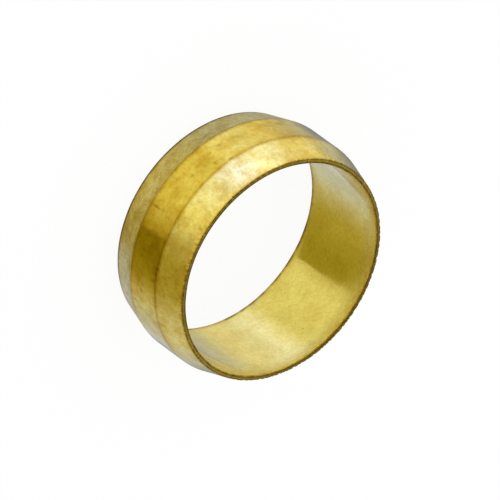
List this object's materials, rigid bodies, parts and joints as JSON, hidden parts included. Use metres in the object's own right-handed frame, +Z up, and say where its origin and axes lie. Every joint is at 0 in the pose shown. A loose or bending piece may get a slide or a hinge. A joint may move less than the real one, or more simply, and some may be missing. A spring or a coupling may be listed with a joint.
{
  "type": "compression olive",
  "caption": "Turned brass ring with a plain bore, a cylindrical land and a taper to each thin end; a compression nut closes it onto a tube to seal a pipe joint.",
  "frame": {"origin": "centre of the lower end face, on the ring's axis, where the ring stands", "axes": "+Z up along the bore's axis; the ring is the same all round, so X and Y have no preferred direction"},
  "size_m": [0.017, 0.017, 0.0071],
  "materials": {
    "brass": "turned and tumbled, satin, lightly tarnished"
  },
  "bodies": {
    "root": {"olive_ring": "brass"}
  },
  "joints": []
}
